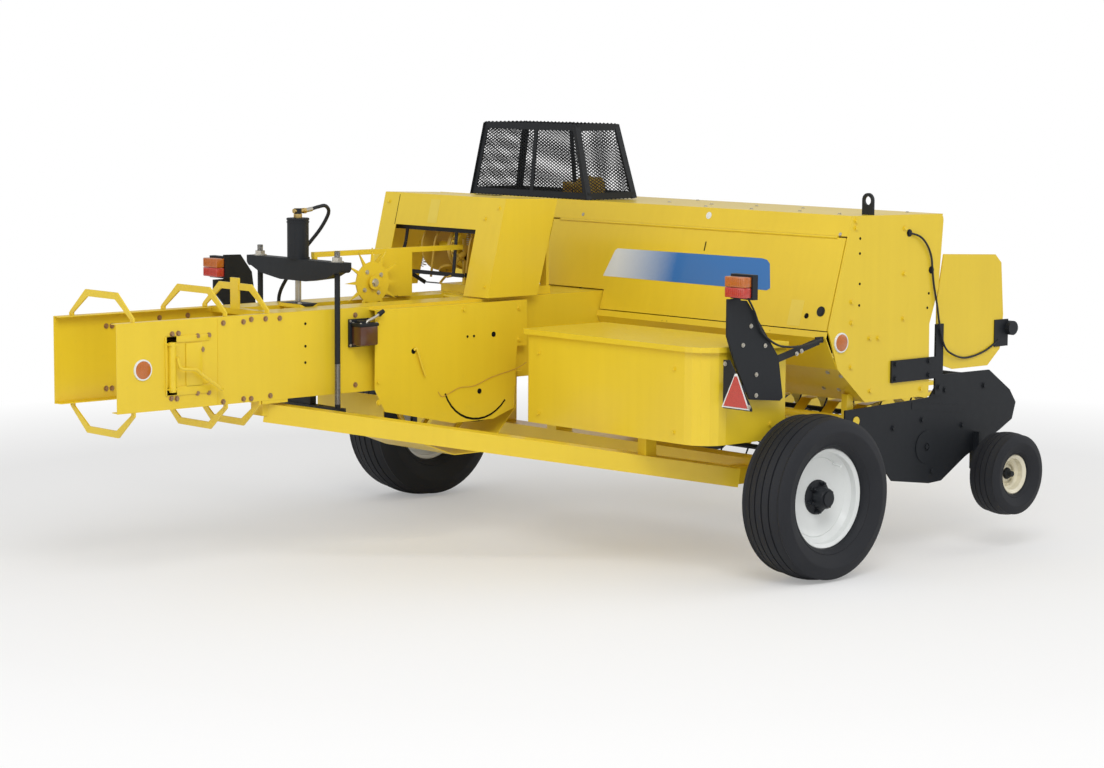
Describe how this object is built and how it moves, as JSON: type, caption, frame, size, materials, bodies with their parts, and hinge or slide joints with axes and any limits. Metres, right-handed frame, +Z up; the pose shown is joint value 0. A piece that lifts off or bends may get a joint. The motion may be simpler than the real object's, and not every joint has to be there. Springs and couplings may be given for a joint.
{
  "type": "square baler",
  "caption": "Towed in-line square baler with side pickup, knotter hood, twine box, hooped bale chamber and swinging drawbar, parked on its jack.",
  "frame": {"origin": "on the ground, under the middle of the machine's bounding box", "axes": "+X forwards, the way it is towed; +Y to the machine's left; +Z up"},
  "size_m": [5.222, 3.08, 1.832],
  "materials": {
    "yellow_paint": "gloss chrome-yellow machine paint",
    "black_paint": "satin blue-black paint",
    "white_rim": "gloss white wheel enamel",
    "cream_rim": "gloss cream wheel enamel",
    "tyre_rubber": "ribbed tyre rubber",
    "steel": "bare ground steel",
    "amber_lens": "amber moulded lens",
    "dark_plastic": "dark translucent plastic"
  },
  "bodies": {
    "frame": {"axle_beam": "yellow_paint", "chamber_cover": "yellow_paint", "chamber_floor": "yellow_paint", "corner_bracket": "black_paint", "diagonal_brace": "yellow_paint", "drawbar_mount": "yellow_paint", "feeder_end_plate": "yellow_paint", "feeder_pan": "yellow_paint", "feeder_roof": "yellow_paint", "flywheel_guard": "yellow_paint", "front_marker_lamp": "black_paint", "front_side_shield": "yellow_paint", "gearbox": "black_paint", "knotter_stack": "yellow_paint", "left_chamber_wall": "yellow_paint", "left_drive_case": "yellow_paint", "left_lamp": "amber_lens", "left_lamp_bracket": "black_paint", "left_spindle": "black_paint", "lifting_eye": "black_paint", "mesh_guard": "black_paint", "metering_bracket": "yellow_paint", "needle_guard": "yellow_paint", "needle_yoke": "yellow_paint", "oil_reservoir": "dark_plastic", "right_chamber_wall": "yellow_paint", "right_lamp": "amber_lens", "right_lamp_bracket": "black_paint", "right_spindle": "black_paint", "side_shield": "yellow_paint", "twine_box": "yellow_paint"},
    "right_wheel": {"right_tyre": "tyre_rubber", "right_rim": "white_rim"},
    "left_wheel": {"left_tyre": "tyre_rubber", "left_rim": "white_rim"},
    "top_rail": {"top_rail": "yellow_paint"},
    "bottom_rail": {"bottom_rail": "yellow_paint"},
    "density_yoke": {"density_crossbeam": "black_paint", "density_stirrup": "black_paint", "density_cylinder": "black_paint"},
    "density_ram": {"density_ram": "steel"},
    "star_wheel": {"star_wheel": "yellow_paint"},
    "knotter_hood": {"knotter_hood": "yellow_paint"},
    "feeder_door": {"feeder_door": "yellow_paint"},
    "feed_rotor": {"feed_rotor": "black_paint"},
    "twine_box_lid": {"twine_box_lid": "yellow_paint"},
    "pickup": {"pickup_right_plate": "black_paint", "pickup_left_plate": "black_paint", "pickup_strippers": "yellow_paint", "wind_guard": "black_paint"},
    "pickup_reel": {"pickup_reel": "black_paint"},
    "gauge_wheel": {"gauge_tyre": "tyre_rubber", "gauge_rim": "cream_rim"},
    "flywheel": {"flywheel": "black_paint"},
    "drawbar": {"drawbar": "yellow_paint", "jack_housing": "black_paint"},
    "jack_foot": {"jack_foot": "black_paint"}
  },
  "joints": [
    {"name": "right_wheel_spin", "type": "hinge", "parent": "frame", "child": "right_wheel", "pos_m": [-0.219, -1.42, 0.343], "axis": [0, 1, 0], "continuous": true},
    {"name": "left_wheel_spin", "type": "hinge", "parent": "frame", "child": "left_wheel", "pos_m": [0.011, 1.4, 0.375], "axis": [0, 1, 0], "continuous": true},
    {"name": "gauge_wheel_spin", "type": "hinge", "parent": "pickup", "child": "gauge_wheel", "pos_m": [0.971, -1.465, 0.333], "axis": [0, 1, 0], "continuous": true},
    {"name": "pickup_lift", "type": "hinge", "parent": "frame", "child": "pickup", "pos_m": [0.181, 0.33, 0.61], "axis": [0, 1, 0], "range_deg": [0, 10]},
    {"name": "pickup_reel_spin", "type": "hinge", "parent": "pickup", "child": "pickup_reel", "pos_m": [0.641, 0.33, 0.46], "axis": [0, 1, 0], "continuous": true},
    {"name": "feed_rotor_spin", "type": "hinge", "parent": "frame", "child": "feed_rotor", "pos_m": [0.381, 0.33, 0.915], "axis": [0, 1, 0], "continuous": true},
    {"name": "flywheel_spin", "type": "hinge", "parent": "frame", "child": "flywheel", "pos_m": [1.541, 0.33, 0.88], "axis": [1, 0, 0], "continuous": true},
    {"name": "star_wheel_spin", "type": "hinge", "parent": "frame", "child": "star_wheel", "pos_m": [-1.149, 0.33, 1.165], "axis": [0, 1, 0], "continuous": true},
    {"name": "drawbar_swing", "type": "hinge", "parent": "frame", "child": "drawbar", "pos_m": [0.931, 0.33, 0.43], "axis": [0, 0, 1], "range_deg": [-20, 0]},
    {"name": "jack_extension", "type": "slide", "parent": "drawbar", "child": "jack_foot", "axis": [0, 0, 1], "range_m": [0, 0.18]},
    {"name": "knotter_hood_hinge", "type": "hinge", "parent": "frame", "child": "knotter_hood", "pos_m": [-0.318, 0.33, 1.504], "axis": [0, 1, 0], "range_deg": [0, 70]},
    {"name": "feeder_door_hinge", "type": "hinge", "parent": "frame", "child": "feeder_door", "pos_m": [0.094, 0.33, 1.39], "axis": [0, 1, 0], "range_deg": [0, 130]},
    {"name": "twine_box_lid_hinge", "type": "hinge", "parent": "frame", "child": "twine_box_lid", "pos_m": [-0.249, 0.33, 0.9773], "axis": [0, 1, 0], "range_deg": [0, 75]},
    {"name": "top_rail_tilt", "type": "hinge", "parent": "frame", "child": "top_rail", "pos_m": [-0.669, 0.33, 1.074], "axis": [0, -1, 0], "range_deg": [0, 3]},
    {"name": "bottom_rail_tilt", "type": "hinge", "parent": "frame", "child": "bottom_rail", "pos_m": [-0.669, 0.33, 0.741], "axis": [0, 1, 0], "range_deg": [0, 3]},
    {"name": "density_yoke_slide", "type": "slide", "parent": "frame", "child": "density_yoke", "axis": [0, 0, 1], "range_m": [0, 0.04658]},
    {"name": "density_ram_slide", "type": "slide", "parent": "density_yoke", "child": "density_ram", "axis": [0, 0, -1], "range_m": [0, 0.09315]}
  ],
  "couplings": [
    {"joint": "bottom_rail_tilt", "follows": "top_rail_tilt", "ratio": 1},
    {"joint": "density_yoke_slide", "follows": "top_rail_tilt", "m_per_rad": 0.88},
    {"joint": "density_ram_slide", "follows": "top_rail_tilt", "m_per_rad": 1.76}
  ]
}
